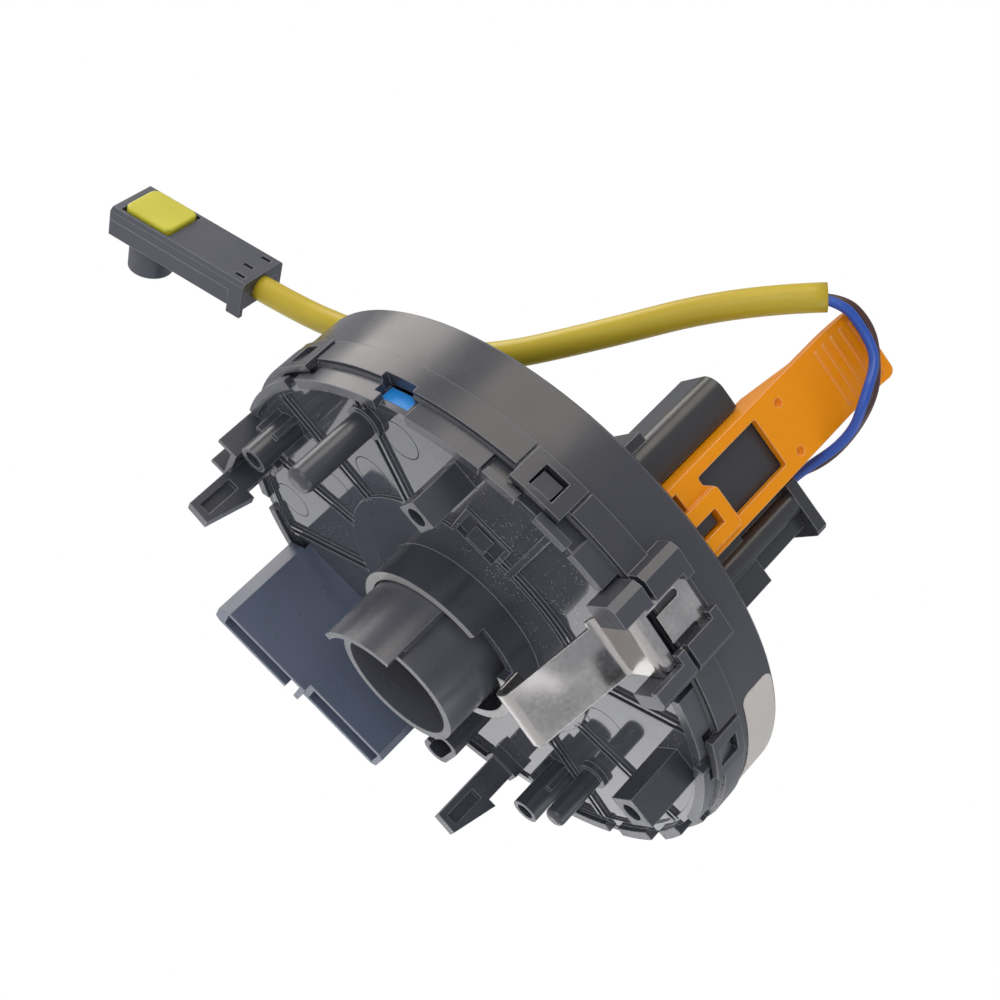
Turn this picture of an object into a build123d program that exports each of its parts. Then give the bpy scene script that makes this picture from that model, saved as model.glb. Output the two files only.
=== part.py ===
from build123d import *
import os
from math import cos, degrees, pi, radians, sin, sqrt, tan

os.makedirs("parts", exist_ok=True)

# The frame: +Z runs along the turning axis towards the steering wheel, and the
# origin is on the axis, in the plane of the rim's column-side edge.

# Ring cover, the outer wall
ring_radius = 54.0
ring_wall = 2.0
ring_height = 19.0
skirt_top = 9.0
skirt_proud = 0.6
edge_chamfer = 0.5

# Base plate
floor_z = 1.5
floor_thickness = 1.8
rim_radius = ring_radius - 2.0
rim_wall = 1.6
rim_low = 1.0
rim_height = 3.8
spigot_wall = 1.3
pad_radius = rim_radius + 1.4
pad_low = 0.0
pad_spans = ((-149, -130), (-122.5, -106), (-85.5, -78), (-53, -43), (-29, -12), (-3, 5), (11, 17),
             (31, 50), (58, 77), (91, 108), (116, 137), (152, 170), (178, 197))
block_offsets = (-9.2, -2.2, 2.2, 9.2)
bridge_azimuth = -90
hub_rib_radii = (28.4, 30.0)
hub_rib_span = 60
hub_rib_azimuth = -83
spigot_height = 3.7
collar_bore = 15.3
collar_wall = 1.8
collar_length = 8.2
collar_step_span = 34
collar_step_depth = 2.2
collar_step_azimuth = -62
hub_lip = 1.7
hub_pad_radius = 27.5
hub_pad_height = 0.6
rib_width = 0.6
rib_gap = 1.2
rib_height = 0.7
rib_azimuths = (-166, -137, -43, -4, 27, 136, 165)

# Clearances
running_gap = 0.08
snap_gap = 0.1
piece_gap = 0.3
lug_gap = 0.4

# Catches that hold the ring cover on the base plate
catch_count = 6
catch_azimuth = -96
catch_width = 10.0
catch_depth = 1.0
catch_window = 4.6
catch_low = 1.8
window_bottom = 2.9
window_top = 7.2
lug_height = 3.4
lug_reach = 0.7

# Slip sheet tabs in the notches of the rim
notch_azimuths = (-128, -8, 112)
notch_width = 6.8
tab_low = 2.3
tab_high = 5.0
sheet_thickness = 0.5

# Screw bosses and posts: x, y, diameter, tip
boss_bore = 3.5
bosses = ((-45.2, -4.5, 5.4, -8.3), (33.4, 22.0, 5.4, -9.6))
boss_rib = 1.2
posts = ((-33.8, -31.0, 5.0, -15.2), (36.7, 10.0, 4.0, -10.8))
shoulder_tip = 0.3
shoulder_wall = 0.9

# Square towers with a blind hole: x, y, side, turn, tip
tower_bore = 3.6
square_towers = ((-16.4, -40.4, 5.2, 12, -8.3), (41.2, -21.8, 6.0, 17, -10.4))

# Hook legs that snap into the column bracket: x of the left edge, near y
hook_legs = ((23.5, 39.5), (-49.4, 11.6))
hook_width = 5.2
hook_thickness = 3.0
hook_tip = -17.0
hook_barb = 1.8
hook_barb_z = -7.6
hook_slot = 2.4

# Guide post beside the connector, a half-open tube
guide_x = 14.7
guide_y = 36.0
guide_width = 6.0
guide_length = 13.0
guide_wall = 1.2
guide_tip = -8.5

# Side lug by the left hook
side_lug_x = -51.0
side_lug_y = 9.5
side_lug_width = 4.4
side_lug_length = 12.0
side_lug_tip = -7.4

# Latch pocket in the floor
pocket_x = -7.4
pocket_y = -30.0
pocket_size = 8.2
pocket_wall = 0.9
pocket_tip = 0.9
pocket_turn = 0
pocket_depth = 2.2
tongue_width = 4.0
tongue_reach = 2.0

# Column connector housing, two bays open towards the column
housing_x0 = -34.5
housing_x1 = 8.4
housing_y0 = 35.4
housing_depth = 8.6
housing_wall = 1.2
housing_bevel = 2.6
bay_split = -11.5
left_bay_tip = -19.8
right_bay_tip = -18.2
bay_floor = -6.0
pin_size = 0.64
pin_pitch = 2.2
pin_length = 7.0
pin_rows = 2
pin_row_gap = 3.0

# Stainless spring clip in its guide rails
clip_azimuth = -66.2
clip_thickness = 0.6
clip_s0 = -5.8
clip_s1 = 5.1
clip_leg_s0 = -4.7
clip_leg_s1 = 5.8
clip_seat = ring_radius + 1.0
clip_top = 11.0
clip_crossing = -0.7
clip_strip = 46.0
clip_foot = 41.3
clip_tip = -18.1
clip_fold = 2.9
clip_return = 5.0
clip_bends = (1.5, 1.6, 1.3, 1.3)
slot_width = 1.4
slot_span = 8.1
slot_centre = -0.3
slot_low = 1.9
slot_high = 8.7
rail_edges = (-10.3, 8.7)
rail_lips = (0.4, 1.8)
rail_nub = 1.2
rail_proud = 1.4
rail_corner = 1.1
rail_top = 12.2
rail_low = -4.8
rail_low_left = -2.9
rail_split = 0.4
rail_cover = 1.8

# Label patch
label_azimuth = -27.2
label_span = 30.0
label_low = 10.9
label_high = 18.2
label_corner = 1.8
label_thickness = 0.15

# Rotor
bore_radius = 11.0
sleeve_wall = 1.5
sleeve_tip = -17.0
sleeve_top = 20.0
flange_thickness = 2.4
cam_thickness = 1.2
cam_tip = -20.0
cam_azimuth = -140.0
cam_span = 72.0
hub_wall = 1.8
disc_radius = 51.5
disc_low = 16.6
disc_thickness = 2.0
boss_ring_radius = 18.0
boss_ring_height = 1.4
disc_rib_count = 8

# Ribbon cable, wound between the hub and the ring
ribbon_thickness = 0.35
ribbon_pitch = 3.2
ribbon_turns = 8
lead_block_width = 9.0
lead_block_height = 9.0
lead_block_depth = 3.2

# Connector tower on the rotor, in the tab's own frame: s along the ring, z up, d outwards
tower_azimuth = -72.0
block_face = 48.5
block_top = 42.0
tower_back = 37.2
left_s0 = -15.0
left_face = 46.5
left_top = 42.2
left_foot = -16.4
left_foot_top = 25.8
right_s1 = 14.8
right_face = 46.4
right_top = 39.8
right_foot = 16.5
right_foot_top = 28.0
corner_round = 3.0
column_rib_radius = 2.2
column_rib_s = 10.0
key_s = 0.7
key_width = 2.0
key_top = 24.6
mouth_wall = 1.3
mouth_depth = 13.0
insert_depth = 16.0
insert_wall = 0.9

# Lead cover, the flanged cap where the wires leave the tower
cover_thickness = 2.2
cover_overhang = 2.3
cover_front = 2.2
cover_corner = 0.8
wire_play = 0.1

# Lock tab
tab_left = -8.0
tab_right = 5.6
tab_plate = 1.4
tab_rail = 1.3
tab_rail_depth = 4.4
tab_foot = 21.4
tab_heel = 20.0
tab_rail_top = 45.0
tab_gusset_top = 54.0
tab_corner = 1.5
hook_left = -3.4
hook_right = 4.4
hook_top = 27.8
hook_raise = 0.8
window_s0 = -6.0
window_foot = 1.5
window_corner = 0.5
window_s1 = 3.4
window_low = 26.3
window_step = 28.0
window_high = 41.2
tab_notch = 2.8
tab_notch_top = 25.2
grip_start = 59.0
grip_top = 68.2
grip_flare = 1.8
grip_ribs = 5
grip_rib = 0.3
grip_pitch = 2.05
grip_low = 58.3
grip_inset = 1.4
dimple_radius = 0.8
dimples = ((-5.1, 46.6), (3.5, 44.9))

# Airbag lead
wire_diameter = 1.7
sleeve_diameter = 5.0
sleeve_route = (
    (4.3, -52.8, 65.4),
    (-5.9, -47.2, 56.3),
    (-18.8, -33.2, 39.7),
    (-29.1, -19.8, 29.8),
    (-40.8, -8.8, 25.3),
    (-52.1, -0.5, 23.6),
    (-61.7, 5.3, 22.3),
    (-70.8, 8.5, 21.1),
)
blue_route = (
    (21.5, -38.9, 39.8),
    (21.5, -38.9, 45.2),
    (23.3, -48.5, 52.0),
    (19.7, -53.7, 56.7),
    (16.9, -52.7, 64.1),
    (11.3, -53.3, 65.8),
    (6.9, -54.6, 65.4),
    (3.4, -53.2, 63.9),
)
brown_route = (
    (21.0, -36.3, 39.8),
    (21.0, -36.3, 45.5),
    (23.9, -43.5, 50.6),
    (21.6, -51.6, 58.6),
    (15.8, -51.4, 66.2),
    (11.5, -52.4, 67.9),
    (6.6, -53.2, 67.3),
    (3.6, -51.3, 65.4),
)

# Airbag connector, in its own frame: x from the cable to the nose, z out of the pad
connector_origin = (-70.8, 8.4, 21.4)
connector_x = (-0.9396, 0.3224, -0.1147)
connector_z = (-0.3415, -0.8796, 0.3299)
connector_length = 32.0
connector_width = 12.0
connector_height = 6.0
connector_seam = 0.4
connector_leg = 3.2
connector_leg_drop = 1.6
nose_x = 26.0
nose_radius = 4.4
nose_length = 7.0
nose_bore = 2.9
pad_x = 24.6
pad_length = 11.0
pad_width = 9.0
pad_height = 1.6
pad_pocket = 1.0
pad_travel = 2.5
contact_radius = 0.5
contact_pitch = 2.4
latch_height = 1.6

# Sizes worked out from the ones above
ring_inner = ring_radius - ring_wall
rim_inner = rim_radius - rim_wall
spigot_radius = rim_inner + spigot_wall
floor_top = floor_z + floor_thickness
spigot_top = rim_height + spigot_height
collar_radius = collar_bore + collar_wall
collar_tip = floor_z - collar_length
lip_radius = collar_bore - hub_lip
sleeve_radius = bore_radius + sleeve_wall
flange_radius = collar_bore - running_gap
flange_top = floor_z - piece_gap
catch_top = skirt_top - 0.3
hub_inner = sleeve_radius + snap_gap
hub_radius = hub_inner + hub_wall
hub_low = floor_top + piece_gap
disc_top = disc_low + disc_thickness
ribbon_inner = hub_radius + lead_block_depth
ribbon_low = floor_top + sheet_thickness + piece_gap
ribbon_high = disc_low - sheet_thickness - piece_gap
housing_y1 = housing_y0 + housing_depth
block_s0 = tab_left + tab_rail + piece_gap
block_s1 = tab_right - tab_rail - piece_gap
mouth_s0 = block_s0 + mouth_wall
mouth_s1 = block_s1 - mouth_wall
tab_back = block_face + piece_gap
tab_face = tab_back + tab_plate


def annulus(r_in, r_out, low, high):
    """A flat ring between two radii and two heights."""
    section = Plane.XZ * Pos((r_in + r_out) / 2, (low + high) / 2) * Rectangle(r_out - r_in, high - low)
    return revolve(section, Axis.Z)


def band(r_in, r_out, low, high, azimuth, span):
    """A stretch of ring, span degrees long about its middle azimuth."""
    section = Plane.XZ * Pos((r_in + r_out) / 2, (low + high) / 2) * Rectangle(r_out - r_in, high - low)
    return Rot(0, 0, azimuth - span / 2) * revolve(section, Axis.Z, span)


def arc_degrees(length, radius):
    """The angle that a length takes up on a circle."""
    return degrees(length / radius)


def tangent_frame(azimuth):
    """A frame on the axis: x along the ring, y up the axis, z outwards."""
    turn = radians(azimuth)
    return Plane(origin=(0, 0, 0), x_dir=(-sin(turn), cos(turn), 0), z_dir=(cos(turn), sin(turn), 0))


def slab(frame, s0, s1, low, high, d0, d1):
    """A block in a tangent frame."""
    block = Box(s1 - s0, high - low, d1 - d0, align=(Align.MIN, Align.MIN, Align.MIN))
    return frame.location * Pos(s0, low, d0) * block


def brick(x0, x1, y0, y1, low, high):
    """A block along the main axes."""
    return Pos(x0, y0, low) * Box(x1 - x0, y1 - y0, high - low, align=(Align.MIN, Align.MIN, Align.MIN))


def rod(x, y, radius, low, high):
    """A round bar along the main axis."""
    return Pos(x, y, low) * Cylinder(radius, high - low, align=(Align.CENTER, Align.CENTER, Align.MIN))


def turned(points):
    """A solid turned about the main axis from radius and height pairs."""
    outline = Polyline(*points, close=True)
    return revolve(Plane.XZ * make_face(outline), Axis.Z)


def catch_azimuths():
    return [catch_azimuth + 360 / catch_count * i for i in range(catch_count)]


def hook_leg(x, y):
    """A flat leg with a tapered barb and a slot through its tip."""
    outline = Polyline(
        (x, floor_z),
        (x, hook_tip),
        (x + hook_width * 0.9, hook_tip - 0.3),
        (x + hook_width + hook_barb, hook_barb_z),
        (x + hook_width, hook_barb_z),
        (x + hook_width, floor_z),
        close=True,
    )
    leg = extrude(Plane.XZ.offset(-y - hook_thickness) * make_face(outline), hook_thickness)
    slot_x = x + hook_width / 2
    half = hook_slot / 2
    low = hook_tip + 1.2
    slot = brick(slot_x - half, slot_x + half, y - 1, y + hook_thickness / 2, low, hook_barb_z - 1)
    root = brick(x - 0.8, x + hook_width + 0.8, y - 0.8, y + hook_thickness + 0.8, floor_z - 2.4, floor_z)
    return leg + root - slot


def screw_boss(x, y, diameter, tip):
    """A screw tube with four ribs round its root."""
    boss = rod(x, y, diameter / 2, tip, floor_z)
    reach = diameter / 2 + boss_rib
    root = tip * 0.45
    boss += brick(x - reach, x + reach, y - boss_rib / 2, y + boss_rib / 2, root, floor_z)
    boss += brick(x - boss_rib / 2, x + boss_rib / 2, y - reach, y + reach, root, floor_z)
    return boss - rod(x, y, boss_bore / 2, tip - 1, floor_z - 0.6)


def round_post(x, y, diameter, tip):
    """A locating post with a rounded tip."""
    post = rod(x, y, diameter / 2, tip, floor_z)
    end = post.edges().filter_by(GeomType.CIRCLE).sort_by(Axis.Z)[0]
    return fillet(end, diameter * 0.28) + rod(x, y, diameter / 2 + shoulder_wall, shoulder_tip, floor_z)


def square_tower(x, y, side, turn, tip):
    """A square post with a blind screw hole."""
    tower = Pos(x, y, tip) * Rot(0, 0, turn) * Box(
        side, side, floor_z - tip, align=(Align.CENTER, Align.CENTER, Align.MIN)
    )
    return tower - rod(x, y, tower_bore / 2, tip - 1, floor_z - 0.6)


def guide_post():
    """A C-shaped wall beside the connector."""
    outer = Pos(guide_x, guide_y) * Rot(0, 0, 90) * SlotOverall(guide_length, guide_width)
    inner = Pos(guide_x, guide_y) * Rot(0, 0, 90) * SlotOverall(
        guide_length - 2 * guide_wall, guide_width - 2 * guide_wall
    )
    wall = Pos(0, 0, guide_tip) * extrude(outer, floor_z - guide_tip)
    wall -= Pos(0, 0, guide_tip) * extrude(inner, floor_z - guide_tip - 0.6)
    opening = brick(guide_x - guide_width, guide_x, guide_y - 2, guide_y + 2, guide_tip - 1, floor_z - 0.6)
    return wall - opening


def double_rib(azimuth):
    """Two thin ribs side by side from the hub pad to the rim."""
    centre = (rib_gap + rib_width) / 2
    length = rim_inner - hub_pad_radius + 1
    ribs = [
        Pos(hub_pad_radius - 0.5, side * centre, floor_z - rib_height)
        * Box(length, rib_width, rib_height, align=(Align.MIN, Align.CENTER, Align.MIN))
        for side in (-1, 1)
    ]
    return [Rot(0, 0, azimuth) * rib for rib in ribs]


def rim_pads():
    """The raised strips round the rim, with a short block on each side of a catch."""
    depth = rim_radius - 0.5
    high = rim_height - 0.1
    pads = []
    for start, end in pad_spans:
        pads.append(band(depth, pad_radius, pad_low, high, (start + end) / 2, end - start))
    for azimuth in catch_azimuths():
        for start, end in (block_offsets[:2], block_offsets[2:]):
            middle = azimuth + (start + end) / 2
            pads.append(band(depth, pad_radius, pad_low, catch_low - piece_gap, middle, end - start))
    return pads


def rim_lug(azimuth):
    """The wedge that a catch snaps over."""
    frame = tangent_frame(azimuth)
    low = window_bottom + lug_gap / 2
    width = catch_window - 2 * lug_gap
    outline = Polyline(
        (spigot_radius - 0.6, low),
        (ring_radius + lug_reach, low),
        (ring_radius + 0.1, low + lug_height),
        (spigot_radius - 0.6, low + lug_height),
        close=True,
    )
    section = Plane(origin=(0, 0, 0), x_dir=frame.z_dir, z_dir=-frame.x_dir)
    return extrude(section.offset(-width / 2) * make_face(outline), width)


def clip_rails(low, high, depth):
    """The pair of hooked rails that hold the spring clip, between two heights."""
    frame = tangent_frame(clip_azimuth)
    seat = clip_seat + clip_thickness + snap_gap
    top = seat + rail_proud
    walls = (clip_s0 - snap_gap, clip_s1 + snap_gap)
    rails = []
    for side, wall, edge, lip in zip((-1, 1), walls, rail_edges, rail_lips):
        foot = max(low, rail_low_left) if side < 0 else low
        outline = Polyline(
            (wall, depth),
            (edge, depth),
            (edge, top - rail_corner),
            (edge - side * rail_corner, top),
            (wall, top),
            close=True,
        )
        section = Plane(origin=frame.from_local_coords((0, foot, 0)), x_dir=frame.x_dir, z_dir=(0, 0, -1))
        rails.append(extrude(section * make_face(outline), foot - high))
        lip_s0, lip_s1 = sorted((wall - side * lip, wall + side * 0.5))
        rails.append(slab(frame, lip_s0, lip_s1, max(foot, rail_cover), high, seat, top))
        if high == rail_top:
            lip_s0, lip_s1 = sorted((wall - side * (lip + rail_nub), wall))
            rails.append(slab(frame, lip_s0, lip_s1, high - 1.8, high, seat, top))
    return rails


def side_lug():
    """A box beside the left hook, open towards the outside and the column."""
    x0 = side_lug_x - side_lug_width / 2
    x1 = side_lug_x + side_lug_width / 2
    y0 = side_lug_y - side_lug_length / 2
    y1 = side_lug_y + side_lug_length / 2
    wall = housing_wall
    return brick(x0, x1, y0, y1, side_lug_tip, floor_z) - brick(
        x0 - 1, x1 - wall, y0 + wall, y1 - wall, side_lug_tip - 1, 0
    )


def base_plate():
    """The column-side moulding: floor, rim, collar, legs and bosses."""
    plate = turned(
        (
            (lip_radius, floor_z),
            (collar_bore, floor_z),
            (collar_bore, collar_tip),
            (collar_radius, collar_tip),
            (collar_radius, floor_z - hub_pad_height),
            (hub_pad_radius, floor_z - hub_pad_height),
            (hub_pad_radius, floor_z),
            (rim_inner, floor_z),
            (rim_inner, rim_low),
            (rim_radius, rim_low),
            (rim_radius, rim_height),
            (spigot_radius, rim_height),
            (spigot_radius, spigot_top),
            (rim_inner, spigot_top),
            (rim_inner, floor_top),
            (lip_radius, floor_top),
        )
    )
    step_top = collar_tip + collar_step_depth
    step = (collar_tip - 1, step_top, collar_step_azimuth, collar_step_span)
    plate -= band(collar_bore - 1, collar_radius + 1, *step)
    plate += [rib for azimuth in rib_azimuths for rib in double_rib(azimuth)]
    plate += [
        band(radius, radius + rib_width, floor_z - rib_height, floor_z, hub_rib_azimuth, hub_rib_span)
        for radius in hub_rib_radii
    ]
    low = floor_z - rib_height
    bridge = brick(hub_pad_radius - 1, rim_inner + 0.5, -rib_width, rib_width, low, floor_z)
    plate += Rot(0, 0, bridge_azimuth) * bridge
    plate += rim_pads()
    plate += [hook_leg(x, y) for x, y in hook_legs]
    plate += [screw_boss(*boss) for boss in bosses]
    plate += [round_post(*post) for post in posts]
    plate += [square_tower(*tower) for tower in square_towers]
    plate += guide_post()
    plate += side_lug()
    pocket = Pos(pocket_x, pocket_y) * Rot(0, 0, pocket_turn)
    size = pocket_size
    outer = size + 2 * pocket_wall
    plate += pocket * Pos(0, 0, (pocket_tip + floor_z) / 2) * Box(outer, outer, floor_z - pocket_tip)
    plate -= pocket * Pos(0, 0, pocket_tip) * Box(size, size, pocket_depth)
    tongue = Box(tongue_width, size / 2 + tongue_reach, 0.6, align=(Align.CENTER, Align.MAX, Align.MIN))
    plate += pocket * Pos(0, size / 2, pocket_tip + 0.4) * tongue
    for azimuth in notch_azimuths:
        span = arc_degrees(notch_width, rim_radius)
        plate -= band(rim_inner - 0.1, rim_radius + 2, tab_low - piece_gap, spigot_top + 1, azimuth, span)
    plate += [rim_lug(azimuth) for azimuth in catch_azimuths()]
    plate += clip_rails(rail_low, rim_height - rail_split, rim_inner + 0.3)
    frame = tangent_frame(clip_azimuth)
    depth = clip_seat + clip_thickness + snap_gap
    s0 = clip_s0 - snap_gap
    plate -= slab(frame, s0, clip_s1 + snap_gap, rail_low - 1, clip_top, rim_radius, depth)
    plate -= slab(frame, s0, clip_leg_s1 + snap_gap, rail_low - 1, floor_z, rim_inner - 1, depth)
    return plate


def catch_loop(azimuth):
    """A loop that hangs over the rim from the ring cover."""
    span = arc_degrees(catch_width, ring_radius)
    return band(ring_radius - 0.3, ring_radius + catch_depth, catch_low, catch_top, azimuth, span)


def catch_opening(azimuth):
    """The window through the loop and the wall behind it."""
    span = arc_degrees(catch_window, ring_radius)
    return band(spigot_radius, ring_radius + 2 * catch_depth, window_bottom, window_top, azimuth, span)


def ring_cover():
    """The outer wall with its raised skirt, catch loops and rails."""
    cover = turned(
        (
            (ring_inner, rim_height),
            (ring_radius - skirt_proud, rim_height),
            (ring_radius, rim_height + skirt_proud),
            (ring_radius, ring_height - edge_chamfer),
            (ring_radius - edge_chamfer, ring_height),
            (ring_inner, ring_height),
        )
    )
    azimuths = catch_azimuths()
    loop_span = arc_degrees(catch_width + 1.2, ring_radius)
    pad_span = 360 / catch_count - loop_span
    low = rim_height + piece_gap
    reach = (ring_radius - 0.5, ring_radius + skirt_proud)
    cover += [band(*reach, low, skirt_top, azimuth + 30, pad_span) for azimuth in azimuths]
    cover += [catch_loop(azimuth) for azimuth in azimuths]
    cover -= annulus(rim_inner, pad_radius + piece_gap, catch_low - 1, rim_height)
    cover -= [catch_opening(azimuth) for azimuth in azimuths]
    for azimuth in notch_azimuths:
        span = arc_degrees(notch_width, rim_radius)
        cover -= band(ring_inner - 1, ring_radius + 2, rim_height - 1, tab_high + piece_gap, azimuth, span)
    frame = tangent_frame(clip_azimuth)
    seat = clip_seat + clip_thickness + snap_gap
    low = rim_height + rail_split
    cover += slab(frame, *rail_edges, low, rail_top, ring_inner + 1, clip_seat)
    cover += clip_rails(low, rail_top, ring_inner + 0.3)
    strip = (clip_s0 - snap_gap, clip_s1 + snap_gap)
    cover -= slab(frame, *strip, rim_height - 1, rail_top + 1, clip_seat, seat)
    return cover


def slip_sheet():
    """The blue low-friction ring on the floor, with tabs in the rim's notches."""
    sheet = annulus(hub_radius + 2, rim_inner - 0.2, floor_top, floor_top + sheet_thickness)
    span = arc_degrees(notch_width - 2 * piece_gap, rim_radius)
    for azimuth in notch_azimuths:
        sheet += band(rim_inner - 1, rim_inner, floor_top, floor_top + sheet_thickness, azimuth, span)
        sheet += band(rim_inner - 0.05, rim_radius - 0.4, tab_low, tab_high, azimuth, span)
    return sheet


def upper_slip_sheet():
    """The low-friction ring between the ribbon and the rotor disc."""
    return annulus(hub_radius + 2, disc_radius - 1.5, disc_low - sheet_thickness, disc_low)


def column_connector():
    """The two-bay housing with its mouths towards the column."""
    low_left = brick(housing_x0, bay_split, housing_y0, housing_y1, left_bay_tip, 0)
    low_right = brick(bay_split, housing_x1, housing_y0, housing_y1, right_bay_tip, 0)
    housing = low_left + low_right
    for x, y, cut in (
        (housing_x0, housing_y0, housing_bevel),
        (housing_x0, housing_y1, housing_wall),
        (housing_x1, housing_y0, housing_wall),
        (housing_x1, housing_y1, housing_wall),
    ):
        corner = housing.edges().filter_by(Axis.Z).sort_by_distance((x, y, bay_floor))[0]
        housing = chamfer(corner, cut)
    foot = brick(housing_x0 + 3, housing_x1, housing_y0, housing_y1, 0, floor_z)
    housing += foot & rod(0, 0, rim_inner - snap_gap, 0, floor_z)
    wall = housing_wall
    y0 = housing_y0 + wall
    y1 = housing_y1 - wall
    housing -= brick(housing_x0 + 2 * wall, bay_split - wall, y0, y1, left_bay_tip - 1, bay_floor)
    housing -= brick(bay_split + wall, housing_x1 - wall, y0, y1, right_bay_tip - 1, bay_floor)
    x1 = bay_split - wall
    return housing - brick(x1 - 2 * wall, x1, y1 - 1, housing_y1 + 1, left_bay_tip - 1, bay_floor)


def column_terminals():
    """Square contact pins standing on the floor of each bay."""
    pins = []
    middle = housing_y0 + housing_depth / 2
    for x0, x1 in ((housing_x0 + 3, bay_split - 1), (bay_split + 1, housing_x1 - 1)):
        count = int((x1 - x0 - 2) / pin_pitch)
        centre = (x0 + x1) / 2
        for row in range(pin_rows):
            y = middle + (row - (pin_rows - 1) / 2) * pin_row_gap
            for i in range(count):
                x = centre + (i - (count - 1) / 2) * pin_pitch
                half = pin_size / 2
                pins.append(brick(x - half, x + half, y - half, y + half, bay_floor - pin_length, bay_floor))
    return Compound(children=pins)


def spring_clip():
    """The stainless strip: slotted plate, crossing, leg and rolled tip."""
    frame = tangent_frame(clip_azimuth)
    mid = clip_seat + clip_thickness / 2
    route = [
        (mid, clip_top),
        (mid, clip_crossing),
        (clip_strip, clip_crossing),
        (clip_foot, clip_tip),
        (clip_foot - clip_fold, clip_tip),
        (clip_foot - clip_fold, clip_tip + clip_return),
    ]
    centre = (clip_s0 + clip_leg_s1) / 2
    points = [frame.from_local_coords((centre, z, d)) for d, z in route]
    path = FilletPolyline(*points, radius=list(clip_bends))
    start = Plane(origin=points[0], x_dir=frame.x_dir, z_dir=points[1] - points[0])
    clip = sweep(start * Rectangle(clip_leg_s1 - clip_s0, clip_thickness), path)
    reach = (clip_seat - 1, clip_seat + clip_thickness + 1)
    clip -= slab(frame, clip_s1, clip_leg_s1 + 1, clip_crossing + 1.8, clip_top + 1, *reach)
    below = (clip_tip - 1, clip_crossing - 1.6)
    clip -= slab(frame, clip_s0 - 1, clip_leg_s0, *below, clip_foot - clip_fold - 1, clip_strip + 1)
    end = slot_width / 2
    for side in (-1, 1):
        middle = slot_centre + side * (slot_span / 2 - end)
        clip -= slab(frame, middle - end, middle + end, slot_low, slot_high - end, *reach)
        clip -= frame.location * Pos(middle, slot_high - end, clip_seat) * Cylinder(end, 4)
    half = slot_span / 2
    base = (slot_low, slot_low + slot_width)
    clip -= slab(frame, slot_centre - half, slot_centre + half, *base, *reach)
    return clip


def label():
    """The bare label patch on the ring wall."""
    outside = ring_radius + label_thickness
    patch = band(ring_radius, outside, label_low, label_high, label_azimuth, label_span)
    corners = patch.edges().filter_by(lambda e: e.length < 2 * label_thickness)
    return fillet(corners, label_corner)


def rotor_sleeve():
    """The tube through the hub, with its flange and the cancel tab."""
    sleeve = turned(
        (
            (bore_radius, sleeve_tip),
            (sleeve_radius, sleeve_tip),
            (sleeve_radius, flange_top - flange_thickness),
            (flange_radius, flange_top - flange_thickness),
            (flange_radius, flange_top),
            (sleeve_radius, flange_top),
            (sleeve_radius, sleeve_top),
            (bore_radius, sleeve_top),
        )
    )
    cam_radius = collar_bore - piece_gap
    sleeve += band(cam_radius - cam_thickness, cam_radius, cam_tip, flange_top - 1, cam_azimuth, cam_span)
    for side in (-1, 1):
        edge = cam_azimuth + side * (cam_span / 2 - 3)
        sleeve += band(sleeve_radius - 0.2, cam_radius - 0.2, sleeve_tip + 1.5, flange_top - 1, edge, 5)
    return sleeve


def tower_blocks(frame):
    """The upright blocks of the connector tower, before the mouth is cut."""
    low = disc_top - 1
    left = slab(frame, left_s0, tab_left - piece_gap, low, left_top, tower_back, left_face)
    edges = left.edges().filter_by(Axis.Z)
    corner = edges.sort_by(lambda e: e.center().dot(frame.z_dir) - e.center().dot(frame.x_dir))[-1]
    left = fillet(corner, corner_round)
    left += slab(frame, left_foot, left_s0 + 1, low, left_foot_top, tower_back, left_face - 1.5)
    middle = slab(frame, block_s0, block_s1, low, block_top, tower_back, block_face)
    link_face = tab_back - tab_rail_depth - 1
    link = slab(frame, tab_left - 1, tab_right + 1, low, block_top - 3, tower_back, link_face)
    right_s0 = tab_right + piece_gap
    right = slab(frame, right_s0, right_s1, low, right_top, tower_back, right_face)
    right += slab(frame, right_s0, right_foot, low, right_foot_top, tower_back, right_face + 1)
    x, y, _ = frame.from_local_coords((column_rib_s, 0, right_face))
    return left + middle + link + right + rod(x, y, column_rib_radius, low, right_top)


def rotor_disc():
    """The wheel-side disc with its hub and connector tower."""
    frame = tangent_frame(tower_azimuth)
    disc = turned(
        (
            (hub_inner, hub_low),
            (hub_radius, hub_low),
            (hub_radius, disc_low),
            (disc_radius, disc_low),
            (disc_radius, disc_top - edge_chamfer),
            (disc_radius - edge_chamfer, disc_top),
            (boss_ring_radius, disc_top),
            (boss_ring_radius, disc_top + boss_ring_height),
            (hub_inner, disc_top + boss_ring_height),
        )
    )
    for i in range(disc_rib_count):
        low = disc_top - 0.2
        half = rib_width / 2
        rib = brick(boss_ring_radius - 0.5, disc_radius - 3.5, -half, half, low, disc_top + rib_height)
        disc += Rot(0, 0, tower_azimuth + 180 / disc_rib_count + 360 / disc_rib_count * i) * rib
    disc += tower_blocks(frame)
    half = key_width / 2
    disc += slab(frame, key_s - half, key_s + half, disc_top - 1, key_top, block_face - 1, tab_face - 0.4)
    mouth = (tower_back + mouth_wall, block_face - mouth_wall)
    disc -= slab(frame, mouth_s0, mouth_s1, block_top - insert_depth, block_top + 1, *mouth)
    for route in (blue_route, brown_route):
        x, y, z = route[0]
        disc -= rod(x, y, wire_diameter / 2 + wire_play, right_top - 6, right_top + 1)
    return disc


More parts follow.
